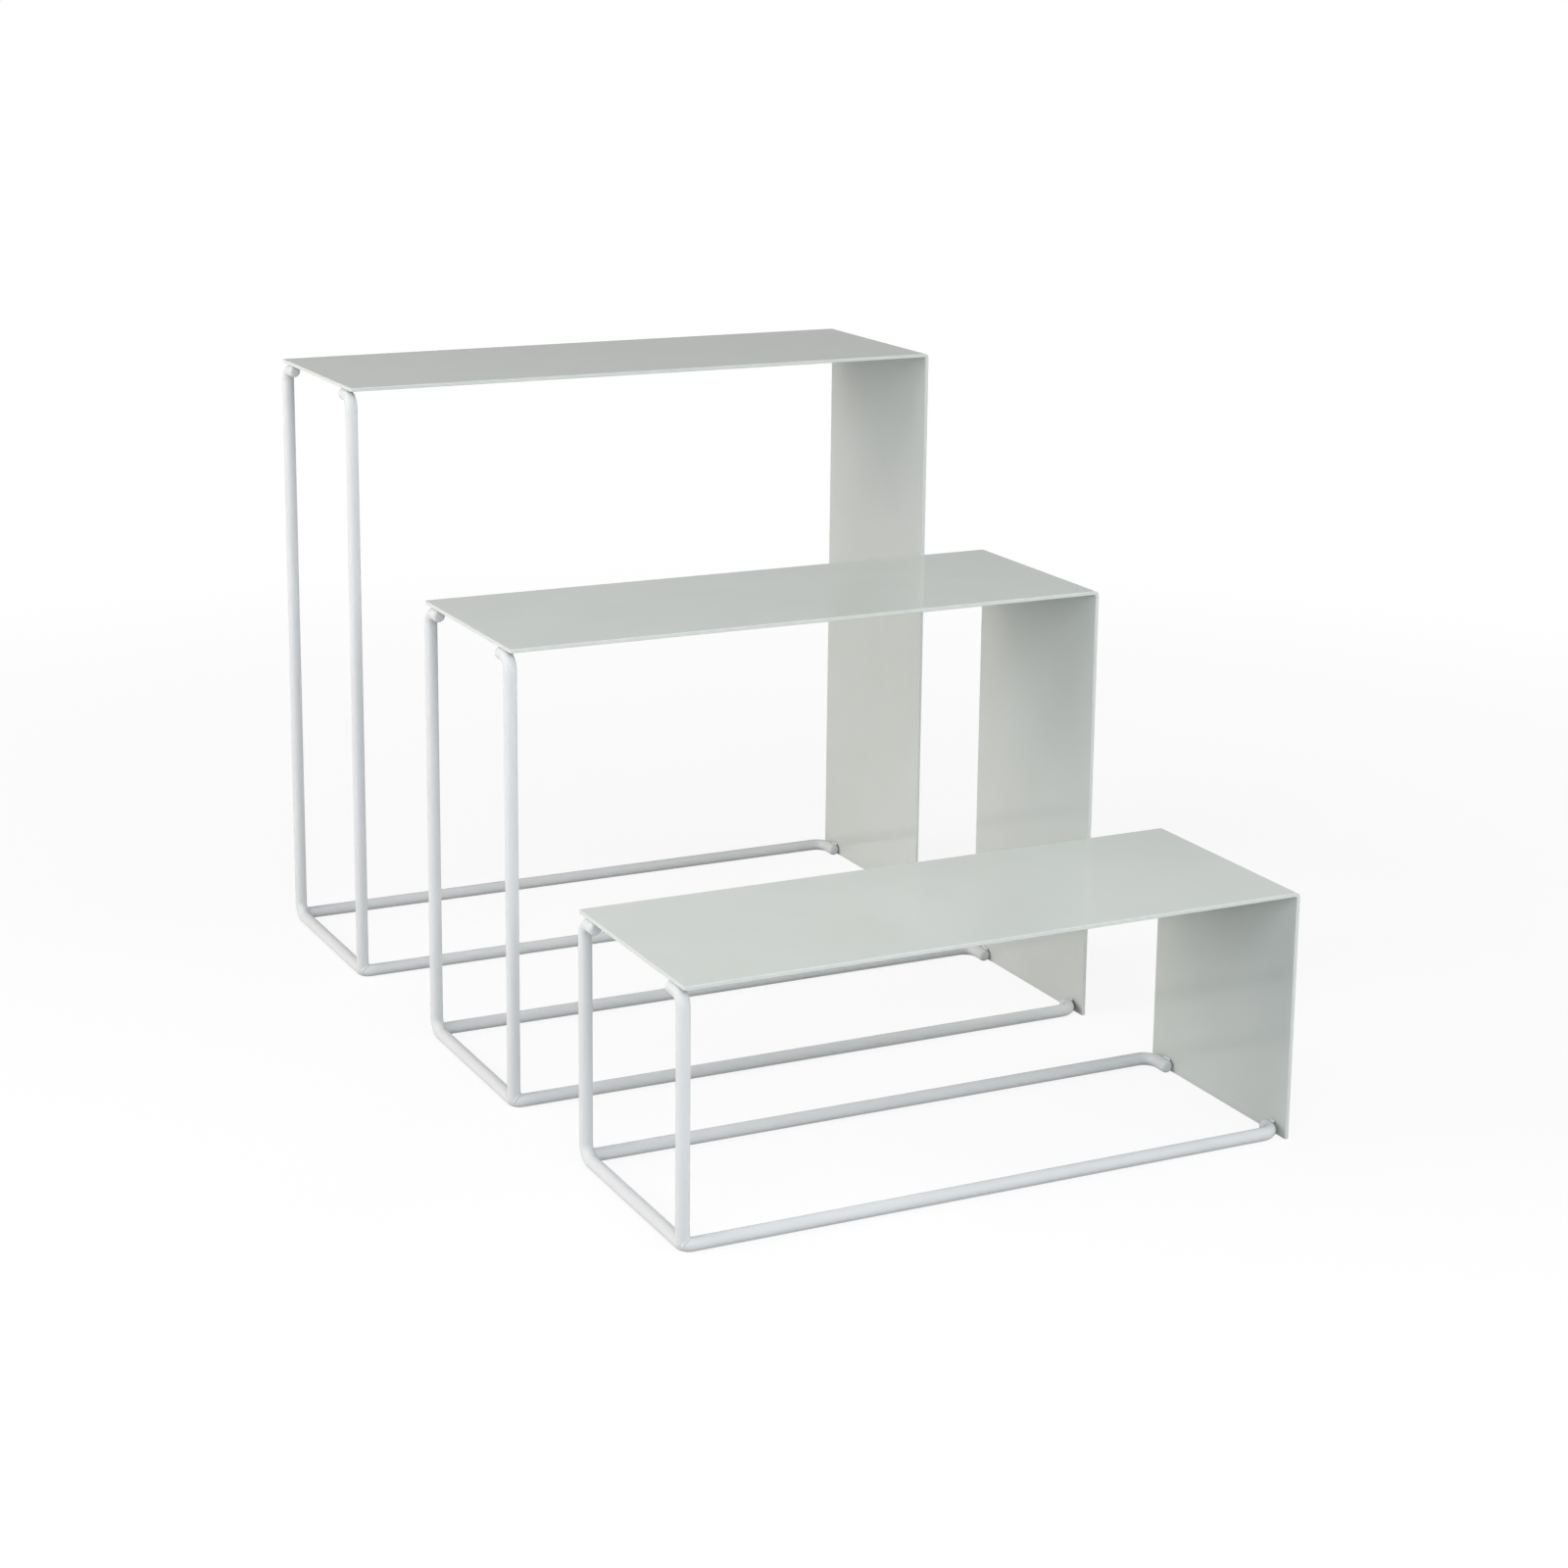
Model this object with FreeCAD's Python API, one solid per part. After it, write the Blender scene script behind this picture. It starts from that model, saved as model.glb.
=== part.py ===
import FreeCAD, Part
import math
import os

# A set of three stepped display tables: tall, medium and short, each a free-standing unit.
# Each unit is one folded steel sheet, which is both the shelf and the right-hand side,
# carried on the left and along the floor by three pieces of bent round bar.
# Frame: millimetres, +Z up, X along the shelves, +Y from the front row to the back row.
# Origin: on the floor, under the middle of the whole set's box.

os.makedirs("parts", exist_ok=True)

Vector = FreeCAD.Vector
Y = Vector(0, 1, 0)
MITRED = 1             # sweep option: the section turns sharply at each corner of its path

# Stock
BAR = 10.0             # diameter of the round bar
BAR_R = BAR / 2
TOP_BEND = 10.0        # bend radii along the bar's centre line: over the top of a leg
FLOOR_BEND = 12.0      # from the rear leg to the floor, and from a rail to the side panel
CORNER_BEND = 6.0      # from the floor cross bar to the front rail, under the front leg
BEND_STEPS = 4         # short turns that make up a bend, within 0.25 mm of the true arc
END_CHAMFER = 0.6      # on the sawn ends of the bar
SHEET = 3.0            # thickness of the folded sheet
FOLD_IN = 1.0          # inside radius of the fold
EDGE_CHAMFER = 0.4     # on the sheet's cut edges
CORNER = 1.5           # rounding of the shelf's two free corners, seen from above

# The set: length along X and height of each unit, and the depth that all three share
DEPTH = 180.0
UNITS = {"short": (490.0, 190.0), "medium": (500.0, 355.0), "tall": (530.0, 500.0)}
ROW_GAPS = {"short": 0.0, "medium": 110.0, "tall": 148.0}  # clear floor in front of each unit
SIDE_STEP = 7.0        # each unit stands this much further left than the one in front

# Bar runs, measured to centre lines from the sheet's left edge and its front or rear edge
LEG_X = 3.0            # legs and floor cross bar, so that the bar stands proud of the left edge
EDGE_IN = BAR_R        # floor rails and rear leg, flush with the sheet's edges
FRONT_LEG_IN = 8.0     # front leg, on the bend below it
TOP_TAIL = 20.0        # reach of a leg's upper end under the shelf
REAR_TAIL = 25.0       # reach of the rear rail's end along the side panel
FRONT_TAIL = 16.0      # reach of the front rail's end along the side panel

# Welds
BEAD_R = 1.5           # radius of a fillet bead
BEAD_DROP = 1.0        # distance of a bead's centre line from the sheet
BEAD_SIDE = 4.1        # distance of a bead's centre line from the bar's, along the sheet
BEAD_BACK = 3.0        # a bead stops this far from the end of the bar
CORNER_BEAD_R = 1.6    # radius of the beads where bar meets bar
CORNER_BEAD_OFF = 0.8  # distance of such a bead's centre line from both bars
CORNER_BEAD = 3.5      # its length


def largest(shape):
    """The main solid of a cut, without its slivers."""
    return max(shape.Solids, key=lambda solid: solid.Volume)


def bend_points(before, corner, after, radius):
    """Corners of the short steps that round the corner between two straight runs."""
    run = (corner - before).normalize()
    turn_to = (after - corner).normalize()
    centre = corner - run * radius + turn_to * radius
    step = 90.0 / BEND_STEPS
    reach = radius / math.cos(math.radians(step / 2))
    points = []
    for i in range(BEND_STEPS):
        angle = math.radians((i + 0.5) * step)
        points.append(centre + (run * math.sin(angle) - turn_to * math.cos(angle)) * reach)
    return points


def bent_bar(points, bends):
    """Round bar swept along straight runs, with a bend of the given radius at each corner."""
    path = [points[0]]
    for before, corner, after, radius in zip(points, points[1:], points[2:], bends):
        path += bend_points(before, corner, after, radius)
    path.append(points[-1])
    section = Part.Wire(Part.makeCircle(BAR_R, path[0], path[1] - path[0]))
    return Part.makePolygon(path).makePipeShell([section], True, True, MITRED)


def eased_ends(bar, ends):
    """Takes the sharp edge off the sawn ends at the given centre points."""
    edges = [edge for edge in bar.Edges for end in ends
             if edge.Closed and (edge.CenterOfMass - end).Length < 0.01]
    return bar.makeChamfer(END_CHAMFER, edges)


def weld(start, end, radius, pieces):
    """A straight fillet bead, cut away where the pieces it joins fill it."""
    bead = Part.makeCylinder(radius, (end - start).Length, start, end - start)
    return largest(bead.cut(pieces))


def folded_panel(length, height):
    """Shelf and right-hand side in one sheet, folded at the top right."""
    fold_out = FOLD_IN + SHEET
    inner_x = length - SHEET
    under = height - SHEET
    slant = 0.5 ** 0.5
    fold_x = length - fold_out
    fold_z = height - fold_out

    def at(x, z):
        return Vector(x, 0, z)

    def fold_arc(radius, first, last):
        middle = at(fold_x + radius * slant, fold_z + radius * slant)
        return Part.Arc(first, middle, last).toShape()

    def line(first, last):
        return Part.LineSegment(first, last).toShape()

    outline = Part.Wire([
        line(at(0, height), at(fold_x, height)),
        fold_arc(fold_out, at(fold_x, height), at(length, fold_z)),
        line(at(length, fold_z), at(length, 0)),
        line(at(length, 0), at(inner_x, 0)),
        line(at(inner_x, 0), at(inner_x, fold_z)),
        fold_arc(FOLD_IN, at(inner_x, fold_z), at(fold_x, under)),
        line(at(fold_x, under), at(0, under)),
        line(at(0, under), at(0, height)),
    ])
    sheet = Part.Face(outline).extrude(Y * DEPTH)
    corners = [edge for edge in sheet.Edges
               if edge.BoundBox.XMax < 0.01 and edge.BoundBox.YLength < 0.01]
    sheet = sheet.makeFillet(CORNER, corners)
    rims = [edge for edge in sheet.Edges if is_rim(edge.BoundBox)]
    return sheet.makeChamfer(EDGE_CHAMFER, rims)


def is_rim(box):
    """True for an edge along the sheet's front, rear or left cut face, but not across it."""
    at_front = box.YMax < CORNER + 0.01
    at_rear = box.YMin > DEPTH - CORNER - 0.01
    at_left = box.XMax < 0.01
    across_shelf = box.XMax < CORNER + 0.01 and abs(box.ZLength - SHEET) < 0.01
    across_foot = box.ZMax < 0.01
    return (at_front or at_rear or at_left) and not (across_shelf or across_foot)


def frame_bar(length, height):
    """Rear leg, floor cross bar and front floor rail in one bar, with both ends turned in."""
    top = height - SHEET - BAR_R
    rear = DEPTH - EDGE_IN
    beside_panel = length - SHEET - BAR_R
    points = [
        Vector(LEG_X, rear - TOP_TAIL, top),
        Vector(LEG_X, rear, top),
        Vector(LEG_X, rear, BAR_R),
        Vector(LEG_X, EDGE_IN, BAR_R),
        Vector(beside_panel, EDGE_IN, BAR_R),
        Vector(beside_panel, EDGE_IN + FRONT_TAIL, BAR_R),
    ]
    bends = [TOP_BEND, FLOOR_BEND, CORNER_BEND, FLOOR_BEND]
    return eased_ends(bent_bar(points, bends), [points[0], points[-1]])


def front_leg(height, frame):
    """Leg with its upper end turned in under the shelf and its foot coped over the frame bar."""
    top = height - SHEET - BAR_R
    points = [
        Vector(LEG_X, FRONT_LEG_IN + TOP_TAIL, top),
        Vector(LEG_X, FRONT_LEG_IN, top),
        Vector(LEG_X, FRONT_LEG_IN, BAR_R),
    ]
    leg = eased_ends(bent_bar(points, [TOP_BEND]), points[:1])
    return largest(leg.cut(frame))


def rear_rail(length, frame):
    """Floor rail with its left end coped to the frame bar and its right end turned in."""
    rear = DEPTH - EDGE_IN
    beside_panel = length - SHEET - BAR_R
    points = [
        Vector(LEG_X, rear, BAR_R),
        Vector(beside_panel, rear, BAR_R),
        Vector(beside_panel, rear - REAR_TAIL, BAR_R),
    ]
    rail = eased_ends(bent_bar(points, [FLOOR_BEND]), points[-1:])
    return largest(rail.cut(frame))


def shelf_welds(height, pieces):
    """A bead beside each leg's upper end, under the shelf."""
    x = LEG_X + BEAD_SIDE
    z = height - SHEET - BEAD_DROP
    rear = DEPTH - EDGE_IN
    spans = [
        (FRONT_LEG_IN + TOP_BEND, FRONT_LEG_IN + TOP_TAIL - BEAD_BACK),
        (rear - TOP_TAIL + BEAD_BACK, rear - TOP_BEND),
    ]
    return [weld(Vector(x, first, z), Vector(x, last, z), BEAD_R, pieces) for first, last in spans]


def panel_welds(length, pieces):
    """A bead on top of each floor rail's turned end, against the side panel."""
    x = length - SHEET - BEAD_DROP
    z = BAR_R + BEAD_SIDE
    rear = DEPTH - EDGE_IN
    spans = [
        (EDGE_IN + FLOOR_BEND * 2 / 3, EDGE_IN + FRONT_TAIL - END_CHAMFER),
        (rear - REAR_TAIL + BEAD_BACK, rear - FLOOR_BEND),
    ]
    return [weld(Vector(x, first, z), Vector(x, last, z), BEAD_R, pieces) for first, last in spans]


def corner_welds(pieces):
    """A short bead in each corner where the leg's foot and the rear rail meet the frame bar."""
    x = LEG_X + BAR_R + CORNER_BEAD_OFF
    z = BAR + CORNER_BEAD_OFF
    half = CORNER_BEAD / 2
    middles = ((EDGE_IN + FRONT_LEG_IN) / 2, DEPTH - EDGE_IN)
    return [weld(Vector(x, y - half, z), Vector(x, y + half, z), CORNER_BEAD_R, pieces)
            for y in middles]


def unit(length, height):
    """All pieces of one unit, with the sheet's front left corner over the origin."""
    panel = folded_panel(length, height)
    frame = frame_bar(length, height)
    leg = front_leg(height, frame)
    rail = rear_rail(length, frame)
    pieces = [panel, frame, leg, rail]
    return {
        "folded_panel": panel,
        "frame_bar": frame,
        "front_leg": leg,
        "rear_rail": rail,
        "shelf_welds": Part.makeCompound(shelf_welds(height, pieces)),
        "panel_welds": Part.makeCompound(panel_welds(length, pieces)),
        "corner_welds": Part.makeCompound(corner_welds(pieces)),
    }


def places():
    """Front left corner of each unit's sheet, with the whole set's box centred on the origin."""
    corners = {}
    front = 0.0
    left = 0.0
    for name in UNITS:
        front += ROW_GAPS[name]
        corners[name] = Vector(left, front, 0)
        front += DEPTH
        left -= SIDE_STEP
    proud = BAR_R - LEG_X
    low_x = min(corners[name].x for name in UNITS) - proud
    high_x = max(corners[name].x + UNITS[name][0] for name in UNITS)
    middle = Vector((low_x + high_x) / 2, front / 2, 0)
    return {name: corner - middle for name, corner in corners.items()}


for unit_name, corner in places().items():
    for piece_name, shape in unit(*UNITS[unit_name]).items():
        shape.translate(corner)
        shape.exportStep("parts/" + unit_name + "_" + piece_name + ".step")
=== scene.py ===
import math

import bmesh
import bpy
from mathutils import Matrix, Vector


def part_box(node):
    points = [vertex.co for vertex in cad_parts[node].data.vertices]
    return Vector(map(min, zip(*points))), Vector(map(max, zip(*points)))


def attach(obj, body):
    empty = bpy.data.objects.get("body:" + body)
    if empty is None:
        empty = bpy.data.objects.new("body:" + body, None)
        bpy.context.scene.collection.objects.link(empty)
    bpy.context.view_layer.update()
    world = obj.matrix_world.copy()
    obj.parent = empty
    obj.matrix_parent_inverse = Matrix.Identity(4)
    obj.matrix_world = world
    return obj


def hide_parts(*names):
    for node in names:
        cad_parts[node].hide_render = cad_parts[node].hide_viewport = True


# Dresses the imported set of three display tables: the folded panels keep their CAD shape and get
# a powder coat, and the bent bars and the welds are made again with smooth bends and real beads.
# Metres, +Z up, X along the shelves, +Y from the front row to the back row.

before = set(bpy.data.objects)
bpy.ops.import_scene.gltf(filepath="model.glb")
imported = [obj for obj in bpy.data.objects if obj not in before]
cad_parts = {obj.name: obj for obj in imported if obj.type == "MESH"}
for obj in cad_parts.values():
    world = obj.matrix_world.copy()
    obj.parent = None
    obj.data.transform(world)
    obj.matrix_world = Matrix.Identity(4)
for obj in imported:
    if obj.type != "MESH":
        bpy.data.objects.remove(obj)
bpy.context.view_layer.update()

X = Vector((1, 0, 0))
Z = Vector((0, 0, 1))
UNITS = {"short": "short_table", "medium": "medium_table", "tall": "tall_table"}

# Bar and sheet, as in the CAD
BAR_R = 0.005
TOP_BEND = 0.010           # bend radii along the bar's centre line: over the top of a leg
FLOOR_BEND = 0.012         # from the rear leg to the floor, and from a rail to the side panel
CORNER_BEND = 0.006        # from the floor cross bar to the front rail, under the front leg
SHEET = 0.003
LEG_X = 0.003              # legs and floor cross bar, from the sheet's left edge
EDGE_IN = BAR_R            # floor rails and rear leg, from the sheet's front or rear edge
FRONT_LEG_IN = 0.008
TOP_TAIL = 0.020           # reach of a leg's upper end under the shelf
REAR_TAIL = 0.025          # reach of the rear rail's end along the side panel
FRONT_TAIL = 0.016         # reach of the front rail's end along the side panel

# Ends of the bars
END_ROUND = 0.0025         # rounding on the free ends
BUTT_ROUND = 0.0007        # rounding on the ends that stand against another bar
FLAT_MARGIN = 0.0006       # from the rounding to the innermost ring of the end's flat face

# Mesh detail
END_RINGS = 8              # steps round an end's rounding
BEND_RINGS = 16            # steps along a bend
BAR_SIDES = 48
BEAD_SIDES = 24
SEAM_SIDES = 14
SHARP_ANGLE = math.radians(38)

# Welds
BEAD_R = 0.0015            # radius of the beads along the sheet
BEAD_DROP = 0.001          # distance of a bead's centre line from the sheet
BEAD_SIDE = 0.0041         # distance of a bead's centre line from the bar's, along the sheet
BEAD_BACK = 0.003          # a bead stops this far from the end of the bar
BEAD_TAPER = 2.5           # length of a bead's tapered ends, in radii
BEAD_TIP = 0.1             # radius at their very ends, in radii
FRONT_BEAD = FLOOR_BEND * 2 / 3     # from the front rail's centre line to where its bead starts
RIPPLE = 0.0015            # length of one ripple
RIPPLE_DEPTH = 0.12        # share of the bead's radius
RIPPLE_LEAN = 0.35         # how far a ripple's middle lags behind its sides, in ripples
RIPPLE_STEPS = 6           # rings of the mesh in one ripple
SEAM_R = 0.001             # radius of the bead round a butted bar
SEAM_SUNK = 0.0008         # how far its centre line lies under a bend's outer side
SEAM_WAVES = ((0.07, 1.7), (0.04, 0.6))     # its unevenness: share of the radius, radians a step
SEAM_SWELL = 1 + sum(share for share, pace in SEAM_WAVES)   # most that its radius can grow


# ---- camera ------------------------------------------------------------------------------

CAMERA_AT = Vector((-1.0661, -2.1837, 0.8853))
CAMERA_YAW = math.radians(26.4100)       # from +Y towards +X
CAMERA_PITCH = math.radians(12.9817)     # downwards
CAMERA_ROLL = math.radians(0.6206)
CAMERA_LENS = 72.33                      # lens and sensor width in millimetres
CAMERA_SENSOR = 36
CAMERA_SHIFT_Y = -0.10
CAMERA_REACH = 200                       # covers the whole floor


def add_camera():
    """The camera that was fitted to the photo's three tables."""
    forward = Vector((math.sin(CAMERA_YAW) * math.cos(CAMERA_PITCH),
                      math.cos(CAMERA_YAW) * math.cos(CAMERA_PITCH),
                      -math.sin(CAMERA_PITCH)))
    level = Vector((math.cos(CAMERA_YAW), -math.sin(CAMERA_YAW), 0))
    upright = level.cross(forward)
    right = level * math.cos(CAMERA_ROLL) + upright * math.sin(CAMERA_ROLL)
    up = upright * math.cos(CAMERA_ROLL) - level * math.sin(CAMERA_ROLL)
    data = bpy.data.cameras.new("camera")
    data.sensor_width = CAMERA_SENSOR
    data.lens = CAMERA_LENS
    data.shift_y = CAMERA_SHIFT_Y
    data.clip_end = CAMERA_REACH
    camera = bpy.data.objects.new("camera", data)
    turned = Matrix((right, up, -forward)).transposed()
    camera.matrix_world = Matrix.Translation(CAMERA_AT) @ turned.to_4x4()
    bpy.context.scene.collection.objects.link(camera)
    bpy.context.scene.camera = camera


# ---- shader helpers ----------------------------------------------------------------------

def node(tree, kind, inputs=None, **settings):
    """Adds a shader node. inputs gives a value or another node's output for each named socket."""
    made = tree.nodes.new(kind)
    for name, value in settings.items():
        setattr(made, name, value)
    for name, value in (inputs or {}).items():
        if isinstance(value, bpy.types.NodeSocket):
            tree.links.new(value, made.inputs[name])
        else:
            made.inputs[name].default_value = value
    return made


def new_material(name):
    """A material with an empty node tree, and that tree."""
    material = bpy.data.materials.new(name)
    material.use_nodes = True
    material.node_tree.nodes.clear()
    return material, material.node_tree


def noise(tree, place, scale, detail, roughness):
    """Soft noise over the place, with scale in cells a metre."""
    made = node(tree, "ShaderNodeTexNoise",
                {"Vector": place, "Scale": scale, "Detail": detail, "Roughness": roughness})
    return made.outputs["Fac"]


def remap(tree, value, low, high, to_low, to_high):
    """Maps low..high to to_low..to_high, and holds values beyond them at those ends."""
    made = node(tree, "ShaderNodeMapRange",
                {"Value": value, "From Min": low, "From Max": high,
                 "To Min": to_low, "To Max": to_high})
    return made.outputs["Result"]


def pattern(tree, place, kind, to_low, to_high):
    """Noise of one of the kinds of pattern, mapped to to_low..to_high."""
    scale, detail, roughness, low, high = kind
    return remap(tree, noise(tree, place, scale, detail, roughness), low, high, to_low, to_high)


def math_node(tree, operation, first, second):
    made = node(tree, "ShaderNodeMath", {0: first, 1: second}, operation=operation)
    return made.outputs[0]


def mix_colour(tree, factor, first, second):
    """Mixes two colours. Its sockets go by identifier, because several share one name."""
    made = node(tree, "ShaderNodeMix", data_type="RGBA")
    for socket, value in (("Factor_Float", factor), ("A_Color", first), ("B_Color", second)):
        target = next(i for i in made.inputs if i.identifier == socket)
        if isinstance(value, bpy.types.NodeSocket):
            tree.links.new(value, target)
        else:
            target.default_value = value
    return next(o for o in made.outputs if o.identifier == "Result_Color")


# ---- powder coat -------------------------------------------------------------------------

SHEET_WHITE = (0.660, 0.700, 0.662)
# The bars' and welds' coat is the sheets' own powder coat, painted lighter and bluer: painted light
# on the bars
BAR_WHITE = (0.700, 0.722, 0.722)
THIN = (0.975, 0.977, 0.971)      # tint of the slightly thinner patches of the coat
EDGE_HIGHLIGHT_TINT = (1.11, 1.10, 1.11)        # painted highlight: the coat's colour lightened along edges
CORNER_SHADE_TINT = (0.68, 0.67, 0.66)        # painted shade: the coat darkened in corners and near the floor
IOR = 1.5
SPECULAR = 0.28
GRAIN_SHARE = 0.22                # how much the fine grain thins the colour
EDGE_REACH = 0.0012               # width of the painted highlight along an edge
EDGE_TURN = (0.995, 0.86)         # cosine of the turn there, where it starts and is full
EDGE_SHARE = (0.15, 0.75)         # how much of the painted highlight shows, from patch to patch
CORNER_REACH = 0.012              # how near a surface has to be to darken the coat with painted shade
CORNER_OPEN = (0.62, 0.15)        # how open a corner is, from no painted shade to most
# most of the painted corner shade that shows
CORNER_SHADE_SHARE = 0.7
GLOSS_SPREAD = (-0.015, 0.02)     # what the patches add to the coat's roughness
RUB_SHARE = 0.05                  # and what rubbing adds to it
LOOKUPS = 6                       # samples with which edges and corners are found

# Kinds of pattern: cells a metre, detail, roughness, and the values that count as low and high
MOTTLING = (14, 3, 0.55, 0.38, 0.66)
GRAIN = (900, 2, 0.5, 0.35, 0.75)
EDGE_PATCHES = (160, 4, 0.6, 0.40, 0.62)
GLOSS_PATCHES = (26, 4, 0.6, 0.30, 0.70)
RUBBING = (75, 5, 0.7, 0.60, 0.78)

# Detail and roughness of the relief
WAVES = (1, 0.4)
PEEL = (3, 0.45)


def powder_coat(name, white, shine, peel_size, peel_depth, wave_size, wave_depth):
    """Off-white glossy coat: orange peel, soft mottling, a painted highlight along edges and
    painted shade in corners.

    shine is its roughness before patches and rubbing, the sizes are wavelengths in metres and
    the depths are heights in metres."""
    coat_full, coat_thin, coat_edge_highlight, coat_corner_shade = (
        tuple(share * part for share, part in zip(tint, white)) + (1,)
        for tint in ((1, 1, 1), THIN, EDGE_HIGHLIGHT_TINT, CORNER_SHADE_TINT))
    material, tree = new_material(name)
    place = node(tree, "ShaderNodeTexCoord").outputs["Object"]

    # Colour: broad mottling and fine grain, then a painted highlight on edges and painted shade in
    # corners
    colour = mix_colour(tree, pattern(tree, place, MOTTLING, 0, 1), coat_full, coat_thin)
    grain = pattern(tree, place, GRAIN, 0, GRAIN_SHARE)
    colour = mix_colour(tree, grain, colour, coat_thin)

    # Painted highlight: the colour is lightened along edges, where the bevelled normal turns away
    # from the flat one
    rounded = node(tree, "ShaderNodeBevel", {"Radius": EDGE_REACH}, samples=LOOKUPS)
    flat = node(tree, "ShaderNodeNewGeometry")
    agree = node(tree, "ShaderNodeVectorMath",
                 {0: rounded.outputs["Normal"], 1: flat.outputs["Normal"]},
                 operation="DOT_PRODUCT").outputs["Value"]
    edge = remap(tree, agree, *EDGE_TURN, 0, 1)
    patchy = pattern(tree, place, EDGE_PATCHES, *EDGE_SHARE)
    colour = mix_colour(tree, math_node(tree, "MULTIPLY", edge, patchy), colour, coat_edge_highlight)

    # Painted shade: the colour is darkened where ambient occlusion finds surfaces close by
    corner = node(tree, "ShaderNodeAmbientOcclusion", {"Distance": CORNER_REACH},
                  samples=LOOKUPS)
    corner_shade = remap(tree, corner.outputs["AO"], *CORNER_OPEN, 0, CORNER_SHADE_SHARE)
    colour = mix_colour(tree, corner_shade, colour, coat_corner_shade)

    # Gloss: uneven over patches a few centimetres wide, duller where it has been rubbed
    glossier, duller = (shine + change for change in GLOSS_SPREAD)
    roughness = pattern(tree, place, GLOSS_PATCHES, glossier, duller)
    rubbed = pattern(tree, place, RUBBING, 0, RUB_SHARE)
    roughness = math_node(tree, "ADD", roughness, rubbed)

    # Relief: the piece's own waviness under a fine orange peel
    waves = noise(tree, place, 1 / wave_size, *WAVES)
    bump = node(tree, "ShaderNodeBump", {"Height": waves, "Strength": 1, "Distance": wave_depth})
    peel = noise(tree, place, 1 / peel_size, *PEEL)
    bump = node(tree, "ShaderNodeBump", {"Height": peel, "Strength": 1, "Distance": peel_depth,
                                         "Normal": bump.outputs["Normal"]})

    coat = node(tree, "ShaderNodeBsdfPrincipled",
                {"Base Color": colour, "Roughness": roughness, "Normal": bump.outputs["Normal"],
                 "IOR": IOR, "Specular IOR Level": SPECULAR})
    output = node(tree, "ShaderNodeOutputMaterial")
    tree.links.new(coat.outputs[0], output.inputs["Surface"])
    return material


# ---- paths -------------------------------------------------------------------------------

def bent_path(corners, bends):
    """Centre line through the corners, with an arc of the given radius at each inner one."""
    path = [corners[0]]
    for before, corner, after, radius in zip(corners, corners[1:], corners[2:], bends):
        run = (corner - before).normalized()
        turn_to = (after - corner).normalized()
        centre = corner - run * radius + turn_to * radius
        for i in range(BEND_RINGS + 1):
            angle = math.pi / 2 * i / BEND_RINGS
            path.append(centre + (run * math.sin(angle) - turn_to * math.cos(angle)) * radius)
    path.append(corners[-1])
    return path


def seam_path(butt, along, bend_centre, bend, least_x):
    """Closed line round the end of a bar that is butted, square to its plane, on a bend.

    It follows the foot where that stands on the bend, and the bend's outer side elsewhere,
    and keeps to the right of least_x."""
    side = along.orthogonal().normalized()
    up = along.cross(side)
    points = []
    for i in range(BAR_SIDES):
        angle = 2 * math.pi * i / BAR_SIDES
        foot = butt + (side * math.cos(angle) + up * math.sin(angle)) * BAR_R
        reach = foot - bend_centre
        off_line = reach.length - bend
        if off_line < BAR_R:
            points.append(foot + along * math.sqrt(BAR_R ** 2 - off_line ** 2))
        else:
            points.append(bend_centre + reach.normalized() * (bend + BAR_R - SEAM_SUNK))
    for point in points:
        point.x = max(point.x, least_x)
    return points


# ---- meshes ------------------------------------------------------------------------------

def add_object(name, bm, body, material, stands_for):
    """Makes the bmesh a smooth-shaded piece that rides on the body and stands for a CAD node."""
    bmesh.ops.recalc_face_normals(bm, faces=bm.faces)
    mesh = bpy.data.meshes.new(name)
    bm.to_mesh(mesh)
    bm.free()
    mesh.shade_smooth()
    mesh.set_sharp_from_angle(angle=SHARP_ANGLE)
    mesh.materials.append(material)
    piece = bpy.data.objects.new(name, mesh)
    bpy.context.scene.collection.objects.link(piece)
    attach(piece, body)
    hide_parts(stands_for)


def cross_axes(path, closed):
    """Two cross axes at each point of the path, turned as little as possible between points."""
    count = len(path)
    axes = []
    side = None
    for i in range(count):
        before = path[i - 1] if i > 0 or closed else path[i]
        after = path[(i + 1) % count] if i < count - 1 or closed else path[i]
        tangent = (after - before).normalized()
        if side is None:
            side = tangent.orthogonal().normalized()
        side = (side - tangent * side.dot(tangent)).normalized()
        axes.append((side, tangent.cross(side)))
    return axes


def sweep(bm, path, axes, radius_at, sides, closed=False):
    """Adds a round tube along the path. radius_at(i, angle) gives its radius at each vertex."""
    rings = []
    for i, (point, (side, up)) in enumerate(zip(path, axes)):
        ring = []
        for k in range(sides):
            angle = 2 * math.pi * k / sides
            out = side * math.cos(angle) + up * math.sin(angle)
            ring.append(bm.verts.new(point + out * radius_at(i, angle)))
        rings.append(ring)
    neighbours = list(zip(rings, rings[1:]))
    if closed:
        neighbours.append((rings[-1], rings[0]))
    for low, high in neighbours:
        for k in range(sides):
            after = (k + 1) % sides
            bm.faces.new((low[k], low[after], high[after], high[k]))
    if not closed:
        bm.faces.new(rings[0])
        bm.faces.new(rings[-1])


def eased_end(end, inward, axes, rounding):
    """Rings (centre, radius, cross axes) of an end with its edge rounded, innermost first."""
    rings = [(end, BAR_R - rounding - FLAT_MARGIN, axes)]
    for i in range(END_RINGS + 1):
        angle = math.pi / 2 * i / END_RINGS
        radius = BAR_R - rounding * (1 - math.sin(angle))
        rings.append((end + inward * rounding * (1 - math.cos(angle)), radius, axes))
    return rings


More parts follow.
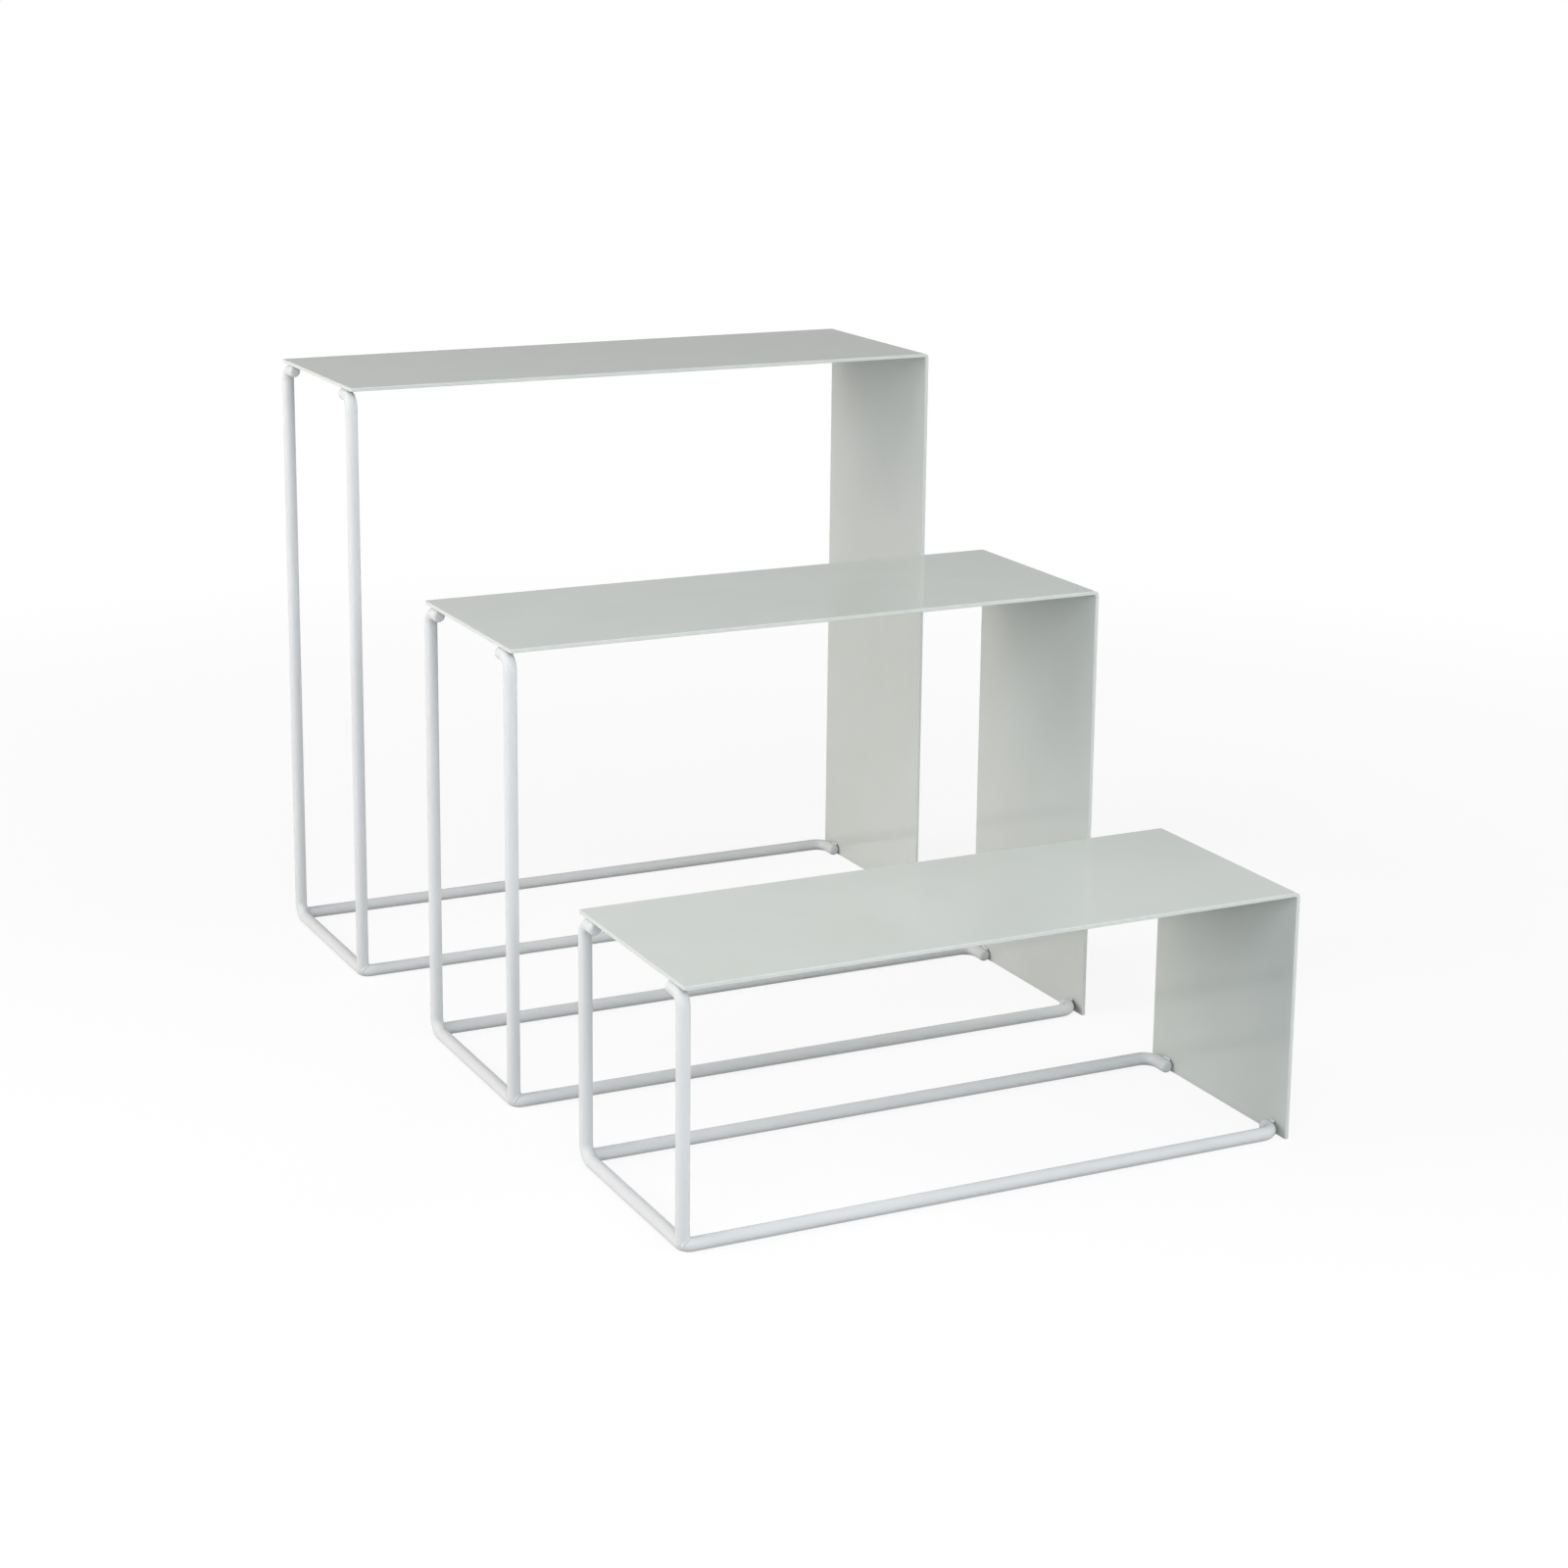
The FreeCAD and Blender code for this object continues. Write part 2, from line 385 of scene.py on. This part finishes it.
def bent_bar(bm, corners, bends, first_round=END_ROUND, last_round=END_ROUND):
    """Adds a bent bar along the corners, with its ends rounded."""
    path = bent_path(corners, bends)
    axes = cross_axes(path, False)
    rings = [(point, BAR_R, pair) for point, pair in zip(path, axes)]
    rings[:1] = eased_end(path[0], (path[1] - path[0]).normalized(), axes[0], first_round)
    last = eased_end(path[-1], (path[-2] - path[-1]).normalized(), axes[-1], last_round)
    rings[-1:] = reversed(last)
    centres, radii, axes = zip(*rings)
    sweep(bm, centres, axes, lambda i, angle: radii[i], BAR_SIDES)


def rippled_bead(bm, start, end, radius):
    """Adds a weld bead with tapered ends and crescent ripples along it."""
    length = (end - start).length
    taper = min(radius * BEAD_TAPER, length / 2)
    count = round(length / RIPPLE * RIPPLE_STEPS)
    path = [start.lerp(end, i / count) for i in range(count + 1)]

    def radius_at(i, angle):
        travelled = length * i / count
        from_end = min(travelled, length - travelled, taper)
        profile = math.sqrt(max(1 - (1 - from_end / taper) ** 2, BEAD_TIP ** 2))
        phase = (travelled + RIPPLE_LEAN * RIPPLE * math.cos(2 * angle)) / RIPPLE % 1
        return radius * profile * (1 - RIPPLE_DEPTH * phase)

    sweep(bm, path, cross_axes(path, False), radius_at, BEAD_SIDES)


def seam_bead(bm, path):
    """Adds the closed bead round a butted bar, slightly uneven."""
    def radius_at(i, angle):
        return SEAM_R * (1 + sum(share * math.sin(i * pace) for share, pace in SEAM_WAVES))

    sweep(bm, path, cross_axes(path, True), radius_at, SEAM_SIDES, closed=True)


# ---- one unit ----------------------------------------------------------------------------

def dress(unit, body, sheet_coat, bar_coat, weld_coat):
    """Coats the unit's panel, and makes its bars and welds."""
    low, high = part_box(unit + "_folded_panel")
    left = low.x
    front = low.y
    leg_x = left + LEG_X
    top = high.z - SHEET - BAR_R
    rear = high.y - EDGE_IN
    front_rail = front + EDGE_IN
    front_leg = front + FRONT_LEG_IN
    beside_panel = high.x - SHEET - BAR_R

    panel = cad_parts[unit + "_folded_panel"]
    panel.data.materials.clear()
    panel.data.materials.append(sheet_coat)

    def bar(piece, corners, bends, **rounds):
        bm = bmesh.new()
        bent_bar(bm, corners, bends, **rounds)
        add_object(unit + "_" + piece + "_bar", bm, body, bar_coat,
                   unit + "_" + piece)

    bar("frame_bar", [
        Vector((leg_x, rear - TOP_TAIL, top)),
        Vector((leg_x, rear, top)),
        Vector((leg_x, rear, BAR_R)),
        Vector((leg_x, front_rail, BAR_R)),
        Vector((beside_panel, front_rail, BAR_R)),
        Vector((beside_panel, front_rail + FRONT_TAIL, BAR_R)),
    ], [TOP_BEND, FLOOR_BEND, CORNER_BEND, FLOOR_BEND])
    bar("front_leg", [
        Vector((leg_x, front_leg + TOP_TAIL, top)),
        Vector((leg_x, front_leg, top)),
        Vector((leg_x, front_leg, BAR_R)),
    ], [TOP_BEND], last_round=BUTT_ROUND)
    bar("rear_rail", [
        Vector((leg_x, rear, BAR_R)),
        Vector((beside_panel, rear, BAR_R)),
        Vector((beside_panel, rear - REAR_TAIL, BAR_R)),
    ], [FLOOR_BEND], first_round=BUTT_ROUND)

    def beads(piece, ends):
        bm = bmesh.new()
        for start, end in ends:
            rippled_bead(bm, start, end, BEAD_R)
        add_object(unit + "_" + piece + "_beads", bm, body, weld_coat,
                   unit + "_" + piece)

    shelf_x = leg_x + BEAD_SIDE
    shelf_z = high.z - SHEET - BEAD_DROP
    beads("shelf_welds", [
        (Vector((shelf_x, front_leg + TOP_BEND, shelf_z)),
         Vector((shelf_x, front_leg + TOP_TAIL - BEAD_BACK, shelf_z))),
        (Vector((shelf_x, rear - TOP_TAIL + BEAD_BACK, shelf_z)),
         Vector((shelf_x, rear - TOP_BEND, shelf_z))),
    ])
    side_x = high.x - SHEET - BEAD_DROP
    side_z = BAR_R + BEAD_SIDE
    beads("panel_welds", [
        (Vector((side_x, front_rail + FRONT_BEAD, side_z)),
         Vector((side_x, front_rail + FRONT_TAIL - END_ROUND, side_z))),
        (Vector((side_x, rear - REAR_TAIL + BEAD_BACK, side_z)),
         Vector((side_x, rear - FLOOR_BEND, side_z))),
    ])

    least_x = leg_x - BAR_R + SEAM_R * SEAM_SWELL
    bm = bmesh.new()
    seam_bead(bm, seam_path(Vector((leg_x, front_leg, BAR_R)), Z,
                            Vector((leg_x + CORNER_BEND, front_rail + CORNER_BEND, BAR_R)),
                            CORNER_BEND, least_x))
    seam_bead(bm, seam_path(Vector((leg_x, rear, BAR_R)), X,
                            Vector((leg_x, rear - FLOOR_BEND, BAR_R + FLOOR_BEND)),
                            FLOOR_BEND, least_x))
    add_object(unit + "_corner_seams", bm, body, weld_coat,
               unit + "_corner_welds")


# ---- stage -------------------------------------------------------------------------------

FLOOR_SIZE = 160           # wide enough to reach the horizon in every view
FLOOR_WHITE = (0.95, 0.95, 0.95, 1)      # as it is seen
FLOOR_BOUNCE = (0.53, 0.53, 0.53, 1)     # for the light that it sends back up
SHADOW_SHARE = 0.14        # how much of the floor's own light and shade shows near the tables
SHADOW_FULL = 0.7          # distance from the middle up to which it shows that much
SHADOW_END = 1.8           # and from which it doesn't show at all


def seen_directly(tree):
    """1 for camera, glossy and transmission rays."""
    path = node(tree, "ShaderNodeLightPath")
    shown = math_node(tree, "MAXIMUM", path.outputs["Is Camera Ray"],
                      path.outputs["Is Glossy Ray"])
    return math_node(tree, "MAXIMUM", shown, path.outputs["Is Transmission Ray"])


def add_floor():
    """White floor: plain diffuse for the light it returns, and white with a faint shadow to see."""
    material, tree = new_material("floor_white")
    place = node(tree, "ShaderNodeTexCoord").outputs["Object"]
    reach = node(tree, "ShaderNodeVectorMath", {0: place}, operation="LENGTH").outputs["Value"]
    near = remap(tree, reach, SHADOW_FULL, SHADOW_END, SHADOW_SHARE, 0)
    seen = seen_directly(tree)
    whitened = math_node(tree, "MULTIPLY", seen, math_node(tree, "SUBTRACT", 1.0, near))
    diffuse = node(tree, "ShaderNodeBsdfDiffuse",
                   {"Color": mix_colour(tree, seen, FLOOR_BOUNCE, FLOOR_WHITE)})
    white = node(tree, "ShaderNodeEmission", {"Color": (1, 1, 1, 1), "Strength": 1.0})
    mixed = node(tree, "ShaderNodeMixShader",
                 {0: whitened, 1: diffuse.outputs[0], 2: white.outputs[0]})
    output = node(tree, "ShaderNodeOutputMaterial")
    tree.links.new(mixed.outputs[0], output.inputs["Surface"])

    bm = bmesh.new()
    bmesh.ops.create_grid(bm, x_segments=1, y_segments=1, size=FLOOR_SIZE / 2)
    mesh = bpy.data.meshes.new("floor")
    bm.to_mesh(mesh)
    bm.free()
    mesh.materials.append(material)
    floor = bpy.data.objects.new("floor", mesh)
    bpy.context.scene.collection.objects.link(floor)


WORLD_LIGHT = 0.02         # strength of the world's own light on the tables
UPPER_GREY = 0.42          # what gloss shows of the studio well above the horizon
HORIZON = (0.02, 0.14)     # upward parts of a ray between which white turns to grey


def set_world():
    """Faint even light. Camera, glossy and transmission rays see white, and grey higher up."""
    world = bpy.data.worlds.new("studio")
    world.use_nodes = True
    tree = world.node_tree
    tree.nodes.clear()
    ray = node(tree, "ShaderNodeTexCoord").outputs["Generated"]
    height = node(tree, "ShaderNodeSeparateXYZ", {"Vector": ray}).outputs["Z"]
    shown = remap(tree, height, *HORIZON, 1.0, UPPER_GREY)
    strength = node(tree, "ShaderNodeMix",
                    {"Factor": seen_directly(tree), "A": WORLD_LIGHT, "B": shown},
                    data_type="FLOAT").outputs["Result"]
    light = node(tree, "ShaderNodeBackground", {"Color": (1, 1, 1, 1), "Strength": strength})
    output = node(tree, "ShaderNodeOutputWorld")
    tree.links.new(light.outputs[0], output.inputs["Surface"])
    bpy.context.scene.world = world


COOL = (0.94, 0.99, 1.07)
WARM = (1.05, 0.985, 0.965)
PALE = (1.0, 1.0, 1.0)

# Softboxes: place, point they face, width, height, watts, colour
SOFTBOXES = {
    "key": ((-0.9, -1.9, 1.2), (0.05, -0.25, 0.2), 1.8, 1.2, 21, COOL),
    "key_high": ((-0.9, -1.9, 2.3), (0.05, -0.25, 0.2), 2.0, 1.6, 5, COOL),
    "front": ((0.3, -3.0, 0.9), (0.0, -0.2, 0.2), 2.4, 1.4, 12, PALE),
    "front_right": ((1.2, -2.3, 1.6), (0.05, -0.3, 0.1), 1.8, 1.6, 15, PALE),
    "left": ((-2.4, 0.5, 1.3), (0.0, 0.0, 0.2), 2.2, 1.8, 58, WARM),
    "top": ((-0.2, -0.2, 2.8), (0.0, -0.1, 0.2), 2.2, 1.8, 15, PALE),
    "right": ((2.2, -1.0, 1.4), (0.0, -0.2, 0.2), 1.8, 1.6, 20, PALE),
}


def add_softboxes():
    """Large area lamps, kept out of glossy reflections, where they burned the shelves out."""
    for name, (place, target, width, height, watts, colour) in SOFTBOXES.items():
        data = bpy.data.lights.new(name, "AREA")
        data.shape = "RECTANGLE"
        data.size = width
        data.size_y = height
        data.energy = watts
        data.color = colour
        lamp = bpy.data.objects.new(name, data)
        lamp.location = place
        facing = Vector(target) - Vector(place)
        lamp.rotation_euler = facing.to_track_quat("-Z", "Y").to_euler()
        lamp.visible_glossy = False
        bpy.context.scene.collection.objects.link(lamp)


# ---- make it -----------------------------------------------------------------------------

sheet_coat = powder_coat("sheet_powder_coat", SHEET_WHITE, shine=0.075,
                         peel_size=0.0016, peel_depth=0.000004,
                         wave_size=0.15, wave_depth=0.00008)
bar_coat = powder_coat("bar_powder_coat", BAR_WHITE, shine=0.16,
                       peel_size=0.0014, peel_depth=0.000004,
                       wave_size=0.05, wave_depth=0.00002)
weld_coat = powder_coat("weld_powder_coat", BAR_WHITE, shine=0.20,
                        peel_size=0.0010, peel_depth=0.00001,
                        wave_size=0.004, wave_depth=0.00004)

for unit, body in UNITS.items():
    dress(unit, body, sheet_coat, bar_coat, weld_coat)

add_floor()
set_world()
add_softboxes()
add_camera()
bpy.context.scene.view_settings.view_transform = "Standard"
